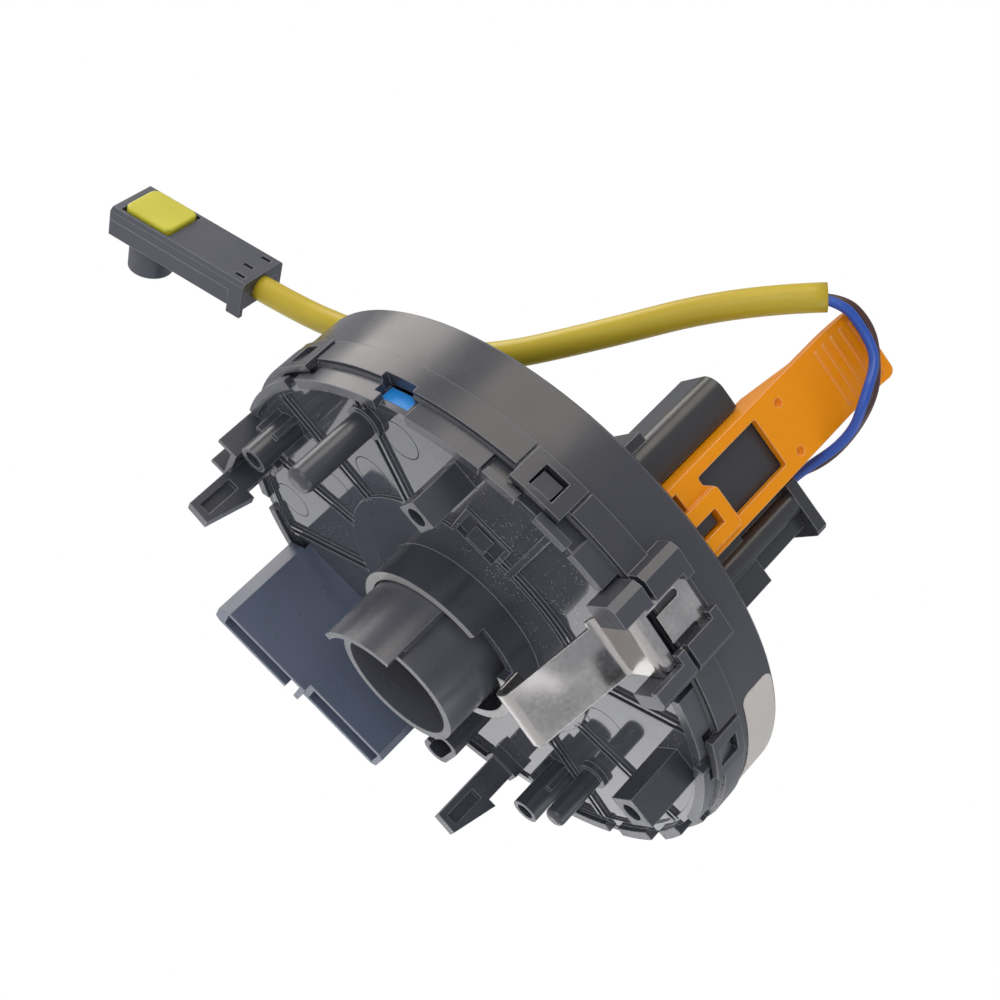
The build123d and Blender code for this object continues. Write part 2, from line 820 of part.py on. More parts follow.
def wheel_connector():
    """The connector insert in the left tower, open towards the wheel."""
    frame = tangent_frame(tower_azimuth)
    s0 = mouth_s0 + snap_gap
    s1 = mouth_s1 - snap_gap
    d0 = tower_back + mouth_wall + snap_gap
    d1 = block_face - mouth_wall - snap_gap
    low = block_top - insert_depth
    insert = slab(frame, s0, s1, low, block_top - 0.6, d0, d1)
    wall = insert_wall
    low = block_top - mouth_depth
    return insert - slab(frame, s0 + wall, s1 - wall, low, block_top, d0 + wall, d1 - wall)


def wheel_terminals():
    """Contact pins of the wheel-side connector."""
    frame = tangent_frame(tower_azimuth)
    middle_s = (mouth_s0 + mouth_s1) / 2
    middle_d = (tower_back + block_face) / 2
    low = block_top - mouth_depth
    pins = []
    for row in (-1, 1):
        for i in (-1, 0, 1):
            s = middle_s + i * pin_pitch
            d = middle_d + row * pin_row_gap / 2
            half = pin_size / 2
            pins.append(slab(frame, s - half, s + half, low, low + pin_length, d - half, d + half))
    return Compound(children=pins)


def lead_cover():
    """The flanged cap on the right tower, with a hole for each wire."""
    frame = tangent_frame(tower_azimuth)
    s0 = tab_right + piece_gap
    s1 = right_s1 + cover_overhang
    top = right_top + cover_thickness
    cap = slab(frame, s0, s1, right_top, top, tower_back - 0.6, right_face + cover_front)
    cap = chamfer(cap.edges().filter_by(Axis.Z), cover_corner)
    for route in (blue_route, brown_route):
        x, y, z = route[0]
        cap -= rod(x, y, wire_diameter / 2 + wire_play, right_top - 1, top + 1)
    return cap


def ribbon_cable():
    """The flat cable, wound as half circles whose centres step from side to side."""
    edges = []
    outer_edges = []
    x = ribbon_inner
    side = 1
    for half_turn in range(2 * ribbon_turns):
        radius = ribbon_inner + ribbon_pitch / 2 * half_turn
        centre = x - side * radius
        end = centre - side * radius
        mid = (centre, side * radius)
        edges.append(ThreePointArc((x, 0), mid, (end, 0)))
        outer = radius + ribbon_thickness
        outer_edges.append(
            ThreePointArc((centre + side * outer, 0), (centre, side * outer), (centre - side * outer, 0))
        )
        x = end
        side = -side
    turns = []
    for inner, outer in zip(edges, outer_edges):
        outline = Wire([inner, Line(inner @ 1, outer @ 1), outer, Line(outer @ 0, inner @ 0)])
        turns.append(extrude(Pos(0, 0, ribbon_low) * make_face(outline), ribbon_high - ribbon_low))
    ribbon = turns[0]
    for turn in turns[1:]:
        ribbon += turn
    return ribbon


def lead_block(azimuth, radius):
    """The block where the ribbon's conductors are welded to the contacts."""
    middle = (ribbon_low + ribbon_high) / 2
    half = lead_block_height / 2
    span = arc_degrees(lead_block_width, radius)
    return band(radius, radius + lead_block_depth, middle - half, middle + half, azimuth, span)


def grip_bow(z):
    """How far the grip has curved outwards at a height."""
    rise = grip_top - grip_start
    radius = (rise**2 + grip_flare**2) / (2 * grip_flare)
    return radius - sqrt(radius**2 - max(0, z - grip_start) ** 2)


def tab_blank(side):
    """The plate with its curved grip, and the rails along its back."""
    middle = (grip_start + grip_top) / 2
    front, back = [
        ThreePointArc((face, grip_start), (face + grip_bow(middle), middle), (face + grip_flare, grip_top))
        for face in (tab_face, tab_back)
    ]
    outline = [
        Line((tab_face, tab_heel), front @ 0),
        front,
        Line(front @ 1, back @ 1),
        back,
        Line(back @ 0, (tab_back, tab_heel)),
        Line((tab_back, tab_heel), (tab_face, tab_heel)),
    ]
    blank = extrude(side.offset(-tab_right) * make_face(Wire(outline)), tab_right - tab_left)
    short = blank.edges().filter_by(lambda e: e.length < tab_plate + 0.1)
    ends = short.filter_by(lambda e: abs(e.center().Z - grip_top) < 0.1)
    blank = fillet(ends, tab_corner)
    rail = Polyline(
        (tab_back + 0.2, tab_heel),
        (tab_back - tab_rail_depth, tab_heel),
        (tab_back - tab_rail_depth, tab_rail_top),
        (tab_back + 0.2, tab_gusset_top),
        close=True,
    )
    for edge in (tab_left + tab_rail, tab_right):
        blank += extrude(side.offset(-edge) * make_face(rail), tab_rail)
    return blank


def lock_tab():
    """The shipping lock: slotted plate with side rails, hook and ribbed grip."""
    frame = tangent_frame(tower_azimuth)
    side = Plane(origin=(0, 0, 0), x_dir=frame.z_dir, z_dir=-frame.x_dir)
    tab = tab_blank(side)
    proud = tab_face + hook_raise
    hook = slab(frame, hook_left, hook_right, tab_heel, hook_top, tab_face - 0.5, proud)
    upper = hook.edges().filter_by(lambda e: abs(e.center().Z - hook_top) < 0.1 and e.length < 2)
    tab += fillet(upper, hook_raise)
    through = (tab_back - 1, proud + 1)
    tab -= slab(frame, tab_left + tab_rail, hook_left, tab_heel - 1, tab_foot, *through)
    outline = Polyline(
        (window_s0, window_low),
        (window_s0 + window_foot, window_low),
        (window_s0 + 2 * window_foot, window_step),
        (window_s1, window_step),
        (window_s1, window_high),
        (window_s0, window_high),
        close=True,
    )
    window = extrude(frame.offset(tab_back - 1) * make_face(outline), tab_plate + 2)
    tab -= fillet(window.edges().filter_by(lambda e: abs(e.length - tab_plate - 2) < 0.01), window_corner)
    half = tab_notch / 2
    tab -= slab(frame, key_s - half, key_s + half, tab_heel - 1, tab_notch_top, *through)
    for s, z in dimples:
        tab -= frame.location * Pos(s, z, tab_face) * Sphere(dimple_radius)
    for i in range(grip_ribs):
        z = grip_low + grip_pitch * i
        rib = Cylinder(grip_rib, tab_right - tab_left - 2 * grip_inset, rotation=(0, 90, 0))
        tab += frame.location * Pos((tab_left + tab_right) / 2, z, tab_face + grip_bow(z)) * rib
    return tab


def corner_radii(points):
    """Arc radii of a route: 0.45 of the shorter run over the tangent of half the turn."""
    radii = []
    for before, here, after in zip(points, points[1:], points[2:]):
        first = Vector(here) - Vector(before)
        second = Vector(after) - Vector(here)
        turn = radians(first.get_angle(second))
        radii.append(0.45 * min(first.length, second.length) / tan(turn / 2))
    return radii


def cord(name, points, diameter):
    """A tube of straight runs and tangent arcs along a route."""
    radii = corner_radii(points)
    path = FilletPolyline(*points, radius=radii)
    direction = Vector(points[1]) - Vector(points[0])
    section = Plane(origin=points[0], z_dir=direction) * Circle(diameter / 2)
    tube = sweep(section, path)
    expected = pi * diameter**2 / 4 * path.length
    print(name, "radii", [round(r, 1) for r in radii], "length", round(path.length, 1))
    print(name, "volume", round(tube.volume, 1), "expected", round(expected, 1))
    return tube


connector_frame = Plane(origin=connector_origin, x_dir=connector_x, z_dir=connector_z)


def connector_box(x0, x1, half_width, low, high):
    """A block in the airbag connector's frame, centred on the cable."""
    block = Box(x1 - x0, 2 * half_width, high - low, align=(Align.MIN, Align.CENTER, Align.MIN))
    return Pos(x0, 0, low) * block


def connector_nose(radius, low, high):
    """A round bar of the plug's nose."""
    return Pos(nose_x, 0, low) * Cylinder(radius, high - low, align=(Align.CENTER, Align.CENTER, Align.MIN))


def airbag_connector_body():
    """The lower half of the connector, with the round plug nose."""
    half = connector_height / 2
    body = connector_box(0, connector_length, connector_width / 2, -half, connector_seam)
    body += connector_nose(nose_radius, -half - nose_length, -half + 0.5)
    body -= connector_nose(nose_bore, -half - nose_length - 1, -half)
    leg = connector_width / 2 - 1
    body -= connector_box(-1, connector_leg, connector_width, -half - 1, connector_seam + 1) - connector_box(
        -1, connector_leg, leg, -half - 1, connector_seam + 1
    )
    return connector_frame.location * body


def airbag_connector_cover():
    """The upper half, with two legs that clip down over the body."""
    half = connector_height / 2
    cover = connector_box(0, connector_length, connector_width / 2, connector_seam, half)
    top_edges = cover.edges().filter_by(Axis.X).sort_by(Axis.Z)[-2:]
    cover = chamfer(top_edges, 0.7)
    leg = connector_width / 2 - 1
    low = -half - connector_leg_drop
    legs = connector_box(0, connector_leg - 0.1, connector_width / 2, low, connector_seam)
    cover += legs - connector_box(-1, connector_leg + 1, leg, low - 1, connector_seam)
    length = pad_length + 2 * piece_gap
    width = pad_width + 2 * piece_gap
    cover -= Pos(pad_x, 0, half) * Box(length, width, 2 * pad_pocket)
    for x, y in ((2.4, 3.8), (3.2, 0.4), (2.4, -3.8)):
        cover -= Pos(x, y, half) * Box(2.2, 0.9, 1.6)
    return connector_frame.location * cover


def airbag_lock_pad():
    """The yellow lock that is pressed down once the plug is home."""
    half = connector_height / 2
    pad = Box(pad_length, pad_width, pad_height, align=(Align.CENTER, Align.CENTER, Align.MIN))
    pad = fillet(pad.edges().filter_by(Axis.Z), 1.6)
    pad = fillet(pad.faces().sort_by(Axis.Z)[-1].edges(), 0.5)
    return connector_frame.location * Pos(pad_x, 0, half - pad_pocket + piece_gap) * pad


def airbag_short_ring():
    """The yellow insert in the plug's nose."""
    half = connector_height / 2
    low = -half - nose_length + 0.8
    ring = connector_nose(nose_bore, low, low + latch_height)
    hole = connector_nose(nose_bore - 0.9, low - 1, low + latch_height + 1)
    return connector_frame.location * (ring - hole)


def airbag_contacts():
    """The two contacts in the plug's nose."""
    half = connector_height / 2
    contacts = [
        Pos(nose_x + side * contact_pitch / 2, 0, -half - nose_length + 1.2)
        * Cylinder(contact_radius, nose_length - 1.2, align=(Align.CENTER, Align.CENTER, Align.MIN))
        for side in (-1, 1)
    ]
    return Compound(children=[connector_frame.location * contact for contact in contacts])


parts = {
    "base_plate": base_plate(),
    "ring_cover": ring_cover(),
    "slip_sheet": slip_sheet(),
    "column_connector": column_connector(),
    "column_terminals": column_terminals(),
    "spring_clip": spring_clip(),
    "label": label(),
    "outer_lead_block": lead_block(100, rim_inner - lead_block_depth),
    "rotor_sleeve": rotor_sleeve(),
    "rotor_disc": rotor_disc(),
    "upper_slip_sheet": upper_slip_sheet(),
    "inner_lead_block": lead_block(0, hub_radius),
    "ribbon_cable": ribbon_cable(),
    "wheel_connector": wheel_connector(),
    "wheel_terminals": wheel_terminals(),
    "lead_cover": lead_cover(),
    "lock_tab": lock_tab(),
    "blue_wire": cord("blue_wire", blue_route, wire_diameter),
    "brown_wire": cord("brown_wire", brown_route, wire_diameter),
    "lead_sleeve": cord("lead_sleeve", sleeve_route, sleeve_diameter),
    "airbag_connector_body": airbag_connector_body(),
    "airbag_connector_cover": airbag_connector_cover(),
    "airbag_lock_pad": airbag_lock_pad(),
    "airbag_short_ring": airbag_short_ring(),
    "airbag_contacts": airbag_contacts(),
}
for name, shape in parts.items():
    export_step(shape, "parts/" + name + ".step")
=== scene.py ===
import bmesh
import bpy
from mathutils import Matrix, Vector


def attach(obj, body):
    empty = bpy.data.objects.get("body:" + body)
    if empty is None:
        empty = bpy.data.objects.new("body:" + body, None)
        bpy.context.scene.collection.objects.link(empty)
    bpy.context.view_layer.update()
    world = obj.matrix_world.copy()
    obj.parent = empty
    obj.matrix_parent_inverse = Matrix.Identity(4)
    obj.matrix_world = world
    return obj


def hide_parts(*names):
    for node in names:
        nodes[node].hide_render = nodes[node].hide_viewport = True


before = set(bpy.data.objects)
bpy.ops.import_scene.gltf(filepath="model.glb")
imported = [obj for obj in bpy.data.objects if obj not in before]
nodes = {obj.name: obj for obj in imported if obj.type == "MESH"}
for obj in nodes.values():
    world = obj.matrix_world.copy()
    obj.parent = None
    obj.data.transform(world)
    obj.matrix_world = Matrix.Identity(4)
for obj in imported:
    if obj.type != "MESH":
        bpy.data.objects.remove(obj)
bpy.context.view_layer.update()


# The studio. The photograph was taken from the steering-column side and from
# below, with the camera rolled over to the right, on plain white. Soft lamps
# stand on both sides, so the underside is lit as well as the rim.
MM = 0.001
camera_place = Vector((-1.93, -285.96, -104.48)) * MM
camera_right = Vector((0.70344, -0.26850, 0.65809))
camera_down = Vector((0.71020, 0.30204, -0.63591))
camera_ahead = Vector((-0.02803, 0.91470, 0.40315))

camera_data = bpy.data.cameras.new("photo_camera")
camera_data.sensor_width = 36.0
camera_data.lens = 61.93
camera_data.clip_start = 0.01
camera = bpy.data.objects.new("photo_camera", camera_data)
bpy.context.scene.collection.objects.link(camera)
turned = Matrix((camera_right, -camera_down, -camera_ahead)).transposed().to_4x4()
turned.translation = camera_place
camera.matrix_world = turned
bpy.context.scene.camera = camera
bpy.context.scene.view_settings.view_transform = "Standard"


def linear(code):
    """The linear colour of an sRGB hex code such as #38393D."""
    parts = [int(code[i:i + 2], 16) / 255 for i in (1, 3, 5)]
    return [p / 12.92 if p <= 0.04045 else ((p + 0.055) / 1.055) ** 2.4 for p in parts] + [1.0]


def add(tree, kind, links=(), inputs=(), **settings):
    """Adds a node. links are (input, socket) and inputs are (input, value)."""
    node = tree.nodes.new(kind)
    for name, value in settings.items():
        setattr(node, name, value)
    for name, value in inputs:
        node.inputs[name].default_value = value
    for name, socket in links:
        tree.links.new(socket, node.inputs[name])
    return node


world = bpy.data.worlds.new("studio")
bpy.context.scene.world = world
world.use_nodes = True
tree = world.node_tree
tree.nodes.clear()
path = add(tree, "ShaderNodeLightPath")
seen = add(tree, "ShaderNodeMath", [(0, path.outputs["Is Camera Ray"]),
                                    (1, path.outputs["Is Transmission Ray"])],
           operation="MAXIMUM")
ambient = add(tree, "ShaderNodeBackground",
              inputs=[("Color", linear("#F0F3FA")), ("Strength", 0.5)])
white = add(tree, "ShaderNodeBackground",
            inputs=[("Color", linear("#FFFFFF")), ("Strength", 1.0)])
mixed = add(tree, "ShaderNodeMixShader", [(0, seen.outputs[0]), (1, ambient.outputs[0]),
                                          (2, white.outputs[0])])
add(tree, "ShaderNodeOutputWorld", [("Surface", mixed.outputs[0])])

floor_height = -0.45
floor_reach = 6.0
floor_mesh = bpy.data.meshes.new("floor")
shape = bmesh.new()
bmesh.ops.create_grid(shape, x_segments=1, y_segments=1, size=floor_reach,
                      matrix=Matrix.Translation((0, 0, floor_height)))
shape.to_mesh(floor_mesh)
shape.free()
floor = bpy.data.objects.new("floor", floor_mesh)
bpy.context.scene.collection.objects.link(floor)
paper = bpy.data.materials.new("pale_floor")
paper.use_nodes = True
paper_shader = paper.node_tree.nodes["Principled BSDF"]
paper_shader.inputs["Base Color"].default_value = linear("#F0F0F0")
paper_shader.inputs["Roughness"].default_value = 0.8
floor_mesh.materials.append(paper)


def softbox(name, place, watts, size, colour="#FFFFFF", target=(0, 0, 0)):
    """A square soft lamp that faces the part or another target."""
    lamp = bpy.data.lights.new(name, "AREA")
    lamp.energy = watts
    lamp.size = size
    lamp.color = linear(colour)[:3]
    box = bpy.data.objects.new(name, lamp)
    bpy.context.scene.collection.objects.link(box)
    box.location = place
    box.rotation_euler = (Vector(target) - Vector(place)).to_track_quat("-Z", "Y").to_euler()
    return box


softbox("key", (-0.75, -1.0, 0.55), 6, 0.9, "#FFF4E4")
softbox("front", (-0.3, -1.0, -0.75), 17, 1.4, "#E6ECFF")
softbox("left", (-0.92, 0.1, 0.4), 4, 0.6, "#FFF8F0")
softbox("underside", (0.45, -0.6, -0.65), 5, 0.5, "#C8D8FF")
softbox("fill", (0.95, -0.25, 0.0), 2, 0.7)

# The sweep lamp lights the floor behind the part, which the base plate's polished
# flats mirror. It is kept out of reflections, so it leaves no glare of its own.
sweep_target = (0.0, 1.25, floor_height)
sweep = softbox("sweep", (0.6, 1.25, 0.1), 15, 1.0, target=sweep_target)
sweep.visible_glossy = False


# The airbag lead. Two PVC-insulated wires rise out of the tower and turn back
# into a yellow vinyl sleeve, which runs across the disc to the airbag plug.
# The sleeve is cut square, so its open end shows the wires going in.
def lead(name, points, diameter, caps):
    """A cord of this thickness along a route, both in millimetres."""
    curve = bpy.data.curves.new(name, "CURVE")
    curve.dimensions = "3D"
    curve.bevel_depth = diameter / 2 * MM
    curve.bevel_resolution = 7
    curve.resolution_u = 10
    curve.use_fill_caps = caps
    spline = curve.splines.new("NURBS")
    spline.points.add(len(points) - 1)
    for control, point in zip(spline.points, points):
        control.co = (*(Vector(point) * MM), 1.0)
    spline.order_u = 3
    spline.use_endpoint_u = True
    piece = bpy.data.objects.new(name, curve)
    bpy.context.scene.collection.objects.link(piece)
    return piece


def finish(name):
    """A new material, with its node tree and its shader."""
    material = bpy.data.materials.new(name)
    material.use_nodes = True
    tree = material.node_tree
    return material, tree, tree.nodes["Principled BSDF"]


def per_metre(size):
    """The scale that gives a pattern this size, in millimetres, on Object coordinates."""
    return 1 / (size * MM)


sleeve_diameter = 5.0
sleeve_wall = 0.5
wire_diameter = 1.7
plastic_ior = 1.53
sleeve_route = [(4.3, -52.8, 65.4), (-5.9, -47.2, 56.3), (-18.8, -33.2, 39.7),
                (-29.1, -19.8, 29.8), (-40.8, -8.8, 25.3), (-52.1, -0.5, 23.6),
                (-61.7, 5.3, 22.3), (-70.8, 8.5, 21.1)]
blue_route = [(21.5, -38.9, 39.8), (21.5, -38.9, 45.2), (23.3, -48.5, 52.0), (19.7, -53.7, 56.7),
              (16.9, -52.7, 64.1), (11.3, -53.3, 65.8), (6.9, -54.6, 65.4), (3.4, -53.2, 63.9)]
brown_route = [(21.0, -36.3, 39.8), (21.0, -36.3, 45.5), (23.9, -43.5, 50.6), (21.6, -51.6, 58.6),
               (15.8, -51.4, 66.2), (11.5, -52.4, 67.9), (6.6, -53.2, 67.3), (3.6, -51.3, 65.4)]

# Plasticised PVC: soft, satin, with a faint waviness from the extruder.
vinyl, tree, shader = finish("yellow_vinyl_sleeve")
where = add(tree, "ShaderNodeTexCoord").outputs["Object"]
shade = add(tree, "ShaderNodeTexNoise", [("Vector", where)],
            [("Scale", per_metre(16.67)), ("Detail", 3.0)])
tones = add(tree, "ShaderNodeMix", [("Factor", shade.outputs["Fac"])],
            [(6, linear("#B89F26")), (7, linear("#CDB83A"))], data_type="RGBA")
tree.links.new(tones.outputs[2], shader.inputs["Base Color"])
ripple = add(tree, "ShaderNodeTexNoise", [("Vector", where)],
             [("Scale", per_metre(2.5)), ("Detail", 2.0)])
waviness = add(tree, "ShaderNodeBump", [("Height", ripple.outputs["Fac"])],
               [("Strength", 0.15), ("Distance", 0.2 * MM)])
tree.links.new(waviness.outputs[0], shader.inputs["Normal"])
shader.inputs["Roughness"].default_value = 0.34
shader.inputs["IOR"].default_value = plastic_ior
shader.inputs["Specular IOR Level"].default_value = 0.35
shader.inputs["Subsurface Weight"].default_value = 0.12
shader.inputs["Subsurface Scale"].default_value = 2.0 * MM

sleeve = lead("sleeve", sleeve_route, sleeve_diameter, False)
wall = sleeve.modifiers.new("wall", "SOLIDIFY")
wall.thickness = sleeve_wall * MM
wall.offset = -1.0
sleeve.data.materials.append(vinyl)
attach(sleeve, "rotor")
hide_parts("lead_sleeve")

for name, node, route, length, colour, slot in (
        ("blue_lead", "blue_wire", blue_route, 0.0460, "#2450AC", "blue_insulation"),
        ("brown_lead", "brown_wire", brown_route, 0.0484, "#4A2E2A", "brown_insulation")):
    insulation, tree, shader = finish(slot)
    shader.inputs["Base Color"].default_value = linear(colour)
    shader.inputs["Roughness"].default_value = 0.3
    shader.inputs["IOR"].default_value = plastic_ior
    wire = lead(name, route, wire_diameter, True)
    wire.data.materials.append(insulation)
    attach(wire, "rotor")
    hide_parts(node)


# The base plate: black mineral-filled polyester from a polished mould. Its flats
# mirror the floor, thin circles show where the ejector pins pushed, and the collar's
# downward end face carries a painted highlight in flat pale grey. The dust beside the
# hub is drawn coarser than real dust.
def moulded(name, colour, cloudy, roughness, gleam=0.5):
    """A moulded plastic in two close tones, with a painted highlight along its edges and faint
    rub marks.
    """
    material, tree, shader = finish(name)
    where = add(tree, "ShaderNodeTexCoord")
    place = where.outputs["Object"]
    cloud = add(tree, "ShaderNodeTexNoise", [("Vector", place)],
                [("Scale", per_metre(22.22)), ("Detail", 4.0)])
    tone = add(tree, "ShaderNodeMix", [("Factor", cloud.outputs["Fac"])],
               [(6, linear(colour)), (7, linear(cloudy))], data_type="RGBA")

    # Moulded corners are never sharp. Their small rounding gets a painted highlight: a pale
    # grey screened over the colour wherever the rounded normal turns from the face's own.
    # Known fault: this compares a world-space normal with an object-space one, which
    # agree only on an unturned body. On a turned rotor, whole side faces go pale.
    rounded = add(tree, "ShaderNodeBevel", inputs=[("Radius", 0.24 * MM)], samples=6)
    turn = add(tree, "ShaderNodeVectorMath",
               [(0, rounded.outputs[0]), (1, where.outputs["Normal"])], operation="DOT_PRODUCT")
    painted_edge_highlight = add(tree, "ShaderNodeMapRange", [("Value", turn.outputs["Value"])],
               [("From Min", 0.995), ("From Max", 0.90), ("To Min", 0.0), ("To Max", 0.95)])
    lit = add(tree, "ShaderNodeMix", [("Factor", painted_edge_highlight.outputs[0]), (6, tone.outputs[2])],
              [(7, linear("#8A8C92"))], data_type="RGBA", blend_type="SCREEN")
    tree.links.new(lit.outputs[2], shader.inputs["Base Color"])

    rubs = add(tree, "ShaderNodeTexNoise", [("Vector", place)],
               [("Scale", per_metre(7.692)), ("Detail", 5.0)])
    gloss = add(tree, "ShaderNodeMapRange", [("Value", rubs.outputs["Fac"])],
                [("From Min", 0.3), ("From Max", 0.7),
                 ("To Min", roughness * 0.85), ("To Max", roughness * 1.2)])
    tree.links.new(gloss.outputs[0], shader.inputs["Roughness"])
    fine = add(tree, "ShaderNodeTexNoise", [("Vector", place)],
               [("Scale", per_metre(0.4)), ("Detail", 2.0)])
    skin = add(tree, "ShaderNodeBump",
               [("Height", fine.outputs["Fac"]), ("Normal", rounded.outputs[0])],
               [("Strength", 0.12), ("Distance", 0.01 * MM)])
    tree.links.new(skin.outputs[0], shader.inputs["Normal"])
    shader.inputs["IOR"].default_value = plastic_ior
    shader.inputs["Specular IOR Level"].default_value = gleam
    return material


def dress(node, material):
    """Gives a CAD node one material."""
    mesh = nodes[node].data
    mesh.materials.clear()
    mesh.materials.append(material)


def any_of(tree, masks):
    """One mask that holds wherever any of these does."""
    whole = masks[0]
    for mask in masks[1:]:
        whole = add(tree, "ShaderNodeMath", [(0, mask), (1, whole)],
                    operation="MAXIMUM").outputs[0]
    return whole


def flats_at(tree, levels):
    """A mask of the faces that look towards the column at any of these heights."""
    where = add(tree, "ShaderNodeTexCoord")
    facing = add(tree, "ShaderNodeSeparateXYZ", [(0, where.outputs["Normal"])])
    height = add(tree, "ShaderNodeSeparateXYZ", [(0, where.outputs["Object"])])
    down = add(tree, "ShaderNodeMath", [(0, facing.outputs["Z"])], [(1, -0.95)],
               operation="LESS_THAN")
    near = [add(tree, "ShaderNodeMath", [(0, height.outputs["Z"])],
                [(1, level), (2, 0.3 * MM)], operation="COMPARE").outputs[0]
            for level in levels]
    return add(tree, "ShaderNodeMath", [(0, any_of(tree, near)), (1, down.outputs[0])],
               operation="MULTIPLY").outputs[0]


floor_level = 1.5 * MM
hub_pad_level = 0.9 * MM
collar_end_level = -6.7 * MM
ejector_radius = 4.0 * MM
ejector_line = 0.11 * MM
ejector_pins = [(-27.6, -34.1), (-28.2, -15.0), (-32.9, 2.4), (-38.8, 23.8), (29.8, -10.0)]
dust_centre = (0.002, -0.035, floor_level)
dust_full = 12.0 * MM
dust_gone = 24.0 * MM

black = moulded("polished_black_moulding", "#424349", "#494B52", 0.25)
tree = black.node_tree
shader = tree.nodes["Principled BSDF"]
place = add(tree, "ShaderNodeTexCoord").outputs["Object"]
flats = flats_at(tree, (floor_level, hub_pad_level))
# The collar's downward end face, which gets a painted highlight.
painted_collar_highlight = flats_at(tree, (collar_end_level,))

specks = add(tree, "ShaderNodeTexVoronoi", [("Vector", place)], [("Scale", per_metre(0.7143))])
speck = add(tree, "ShaderNodeMapRange", [("Value", specks.outputs["Distance"])],
            [("From Min", 0.10), ("From Max", 0.20), ("To Min", 1.0), ("To Max", 0.0)])
drift = add(tree, "ShaderNodeTexNoise", [("Vector", place)],
            [("Scale", per_metre(6.667)), ("Detail", 1.0)])
away = add(tree, "ShaderNodeVectorMath", [(0, place)], [(1, dust_centre)], operation="DISTANCE")
fall = add(tree, "ShaderNodeMapRange", [("Value", away.outputs["Value"])],
           [("From Min", dust_full), ("From Max", dust_gone), ("To Min", 0.42), ("To Max", 0.58)])
spread = add(tree, "ShaderNodeMath", [(0, drift.outputs["Fac"]), (1, fall.outputs[0])],
             operation="SUBTRACT")
some = add(tree, "ShaderNodeMapRange", [("Value", spread.outputs[0])],
           [("From Min", 0.0), ("From Max", 0.1)])
dusty = add(tree, "ShaderNodeMath", [(0, speck.outputs[0]), (1, some.outputs[0])],
            operation="MULTIPLY")
dust = add(tree, "ShaderNodeMath", [(0, dusty.outputs[0]), (1, flats)], operation="MULTIPLY")

# Pale dust specks, then a painted highlight in flat pale grey over the collar's end face.
tint = shader.inputs["Base Color"].links[0].from_socket
for mask, tone in ((dust.outputs[0], "#B4B6B8"), (painted_collar_highlight, "#A8A8A6")):
    over = add(tree, "ShaderNodeMix", [("Factor", mask), (6, tint)], [(7, linear(tone))],
               data_type="RGBA")
    tint = over.outputs[2]
tree.links.new(tint, shader.inputs["Base Color"])

gloss = shader.inputs["Roughness"].links[0].from_socket
sheen = add(tree, "ShaderNodeMix", [("Factor", flats), ("A", gloss)], [("B", 0.06)])
tree.links.new(sheen.outputs[0], shader.inputs["Roughness"])
calm = add(tree, "ShaderNodeMapRange", [("Value", flats)], [("To Min", 0.12), ("To Max", 0.0)])
skin = shader.inputs["Normal"].links[0].from_node
tree.links.new(calm.outputs[0], skin.inputs["Strength"])

circles = []
for x, y in ejector_pins:
    out = add(tree, "ShaderNodeVectorMath", [(0, place)], [(1, (x * MM, y * MM, floor_level))],
              operation="DISTANCE")
    circle = add(tree, "ShaderNodeMath", [(0, out.outputs["Value"])],
                 [(1, ejector_radius), (2, ejector_line)], operation="COMPARE")
    circles.append(circle.outputs[0])
marks = any_of(tree, circles)
clear = add(tree, "ShaderNodeMath", [(0, flats), (1, marks)], operation="SUBTRACT")
coat = add(tree, "ShaderNodeMath", [(0, clear.outputs[0])], [(1, 0.28)], operation="MULTIPLY",
           use_clamp=True)
tree.links.new(coat.outputs[0], shader.inputs["Coat Weight"])
shader.inputs["Coat Roughness"].default_value = 0.04
shine = add(tree, "ShaderNodeMapRange", [("Value", marks)], [("To Min", 0.5), ("To Max", 0.0)])
tree.links.new(shine.outputs[0], shader.inputs["Specular IOR Level"])
dress("base_plate", black)

# The ring cover: the same black, with a satin skin. It snaps over the base plate's
# rim, and its wall is plain, so it shows the lamps as broad soft bands.
dress("ring_cover", moulded("satin_black_moulding", "#3C3D42", "#434449", 0.26))

# The rotor's sleeve: the tube in the middle that the steering shaft passes through,
# moulded in black polyester. It is drawn a little paler than the base plate.
dress("rotor_sleeve", moulded("sleeve_moulding", "#55565C", "#5C5D63", 0.28))

# The rotor's disc with its tower, the cover over the lead's wires and the insert
# that takes the wheel's plug: a plain black grade, pressed and latched together.
disc_black = moulded("disc_moulding", "#333437", "#393A3D", 0.27)
for node in ("rotor_disc", "lead_cover", "wheel_connector"):
    dress(node, disc_black)

# The column connector: a housing with two bays, moulded apart in a bluer and
# slightly duller grade, and fixed to the underside of the base plate.
dress("column_connector", moulded("blue_black_housing", "#5A6273", "#626A7C", 0.30))

# The slip sheets: rings die-cut from smooth polyester film, blue below the flat
# cable and pale above it. They lie loose, so the cable slides on them.
dress("slip_sheet", moulded("blue_polyester_sheet", "#1E86D8", "#2E96E8", 0.35))
dress("upper_slip_sheet", moulded("pale_polyester_sheet", "#D8D8D2", "#E2E2DE", 0.35))

# The flat cable: copper tracks laminated between two amber films, wound round the
# hub. Real ones end in off-white nylon blocks on the plate and the disc. Here the
# outer end stops short of its block, so that the rotor can turn.
dress("ribbon_cable", moulded("amber_film", "#C8A868", "#D2B478", 0.3))
for block in ("outer_lead_block", "inner_lead_block"):
    dress(block, moulded(block + "_nylon", "#CFCFC8", "#DADAD4", 0.4))

# The contact pins: stamped from brass strip and tinned, which leaves a soft pale
# shine. They are pressed into their housings in rows.
tinned, tree, shader = finish("tinned_brass")
shader.inputs["Base Color"].default_value = linear("#C9C6BC")
shader.inputs["Metallic"].default_value = 1.0
shader.inputs["Roughness"].default_value = 0.28
for node in ("column_terminals", "wheel_terminals", "airbag_contacts"):
    dress(node, tinned)

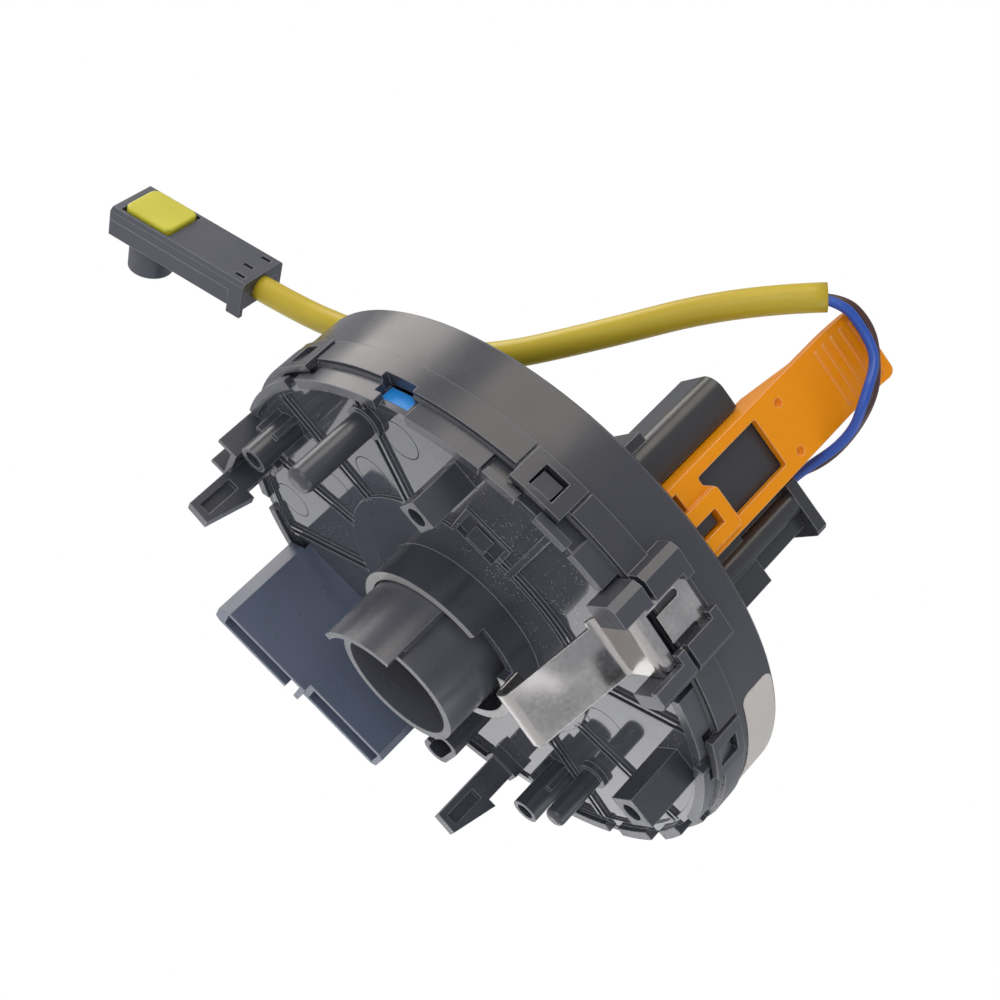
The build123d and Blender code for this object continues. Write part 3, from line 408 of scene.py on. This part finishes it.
# The spring clip: rolled stainless strip, cut and folded, and pushed into the guide
# rails. The folding bows its flats slightly, so they show the lamps as uneven
# patches. The rolled grain is drawn coarser than the real one, so that it shows.
grain_size = (1 / 9, 1 / 9, 4.0)
steel, tree, shader = finish("rolled_stainless")
place = add(tree, "ShaderNodeTexCoord").outputs["Object"]
across = add(tree, "ShaderNodeMapping", [("Vector", place)],
             [("Scale", [per_metre(size) for size in grain_size])])
grain = add(tree, "ShaderNodeTexNoise", [("Vector", across.outputs[0])],
            [("Scale", 1.0), ("Detail", 2.0)])
patches = add(tree, "ShaderNodeTexNoise", [("Vector", place)],
              [("Scale", per_metre(0.7143)), ("Detail", 6.0), ("Roughness", 0.7)])
gloss = add(tree, "ShaderNodeMapRange", [("Value", patches.outputs["Fac"])],
            [("From Min", 0.35), ("From Max", 0.7), ("To Min", 0.18), ("To Max", 0.26)])
tree.links.new(gloss.outputs[0], shader.inputs["Roughness"])
worn = add(tree, "ShaderNodeMix", [("Factor", patches.outputs["Fac"])],
           [(6, linear("#ACA8A6")), (7, linear("#CECBC9"))], data_type="RGBA")
tree.links.new(worn.outputs[2], shader.inputs["Base Color"])
rounded = add(tree, "ShaderNodeBevel", inputs=[("Radius", 0.3 * MM)], samples=6)
waves = add(tree, "ShaderNodeTexNoise", [("Vector", place)],
            [("Scale", per_metre(13.333)), ("Detail", 1.0)])
bowed = add(tree, "ShaderNodeBump",
            [("Height", waves.outputs["Fac"]), ("Normal", rounded.outputs[0])],
            [("Strength", 1.0), ("Distance", 1.6 * MM)])
brushed = add(tree, "ShaderNodeBump",
              [("Height", grain.outputs["Fac"]), ("Normal", bowed.outputs[0])],
              [("Strength", 0.2), ("Distance", 0.01 * MM)])
tree.links.new(brushed.outputs[0], shader.inputs["Normal"])
shader.inputs["Metallic"].default_value = 1.0
dress("spring_clip", steel)

# The label patch: matt coated paper, die-cut with round corners and stuck on the
# ring's wall. Its surface is dull, and slightly warm against the black.
dress("label", moulded("pale_label", "#C6C1BA", "#CEC9C2", 0.55))

# The lock tab: orange polypropylene, a little see-through where it is thin. It is
# pushed over the tower for shipping and pulled off towards the wheel.
orange = moulded("orange_polypropylene", "#E88E08", "#EE9810", 0.33, gleam=0.2)
shader = orange.node_tree.nodes["Principled BSDF"]
shader.inputs["Subsurface Weight"].default_value = 0.25
shader.inputs["Subsurface Scale"].default_value = 3.0 * MM
dress("lock_tab", orange)

# The airbag plug: two halves moulded in slate grey, latched together over the
# sleeve's end, with a bright yellow lock pad on top and a yellow ring in the nose.
dress("airbag_connector_body", moulded("slate_grey_body", "#44464F", "#4E5059", 0.36))
dress("airbag_connector_cover", moulded("slate_grey_cover", "#44464F", "#4E5059", 0.36))
yellow = moulded("yellow_polyester", "#B4AC26", "#DAD43C", 0.36)
dress("airbag_lock_pad", yellow)
dress("airbag_short_ring", yellow)
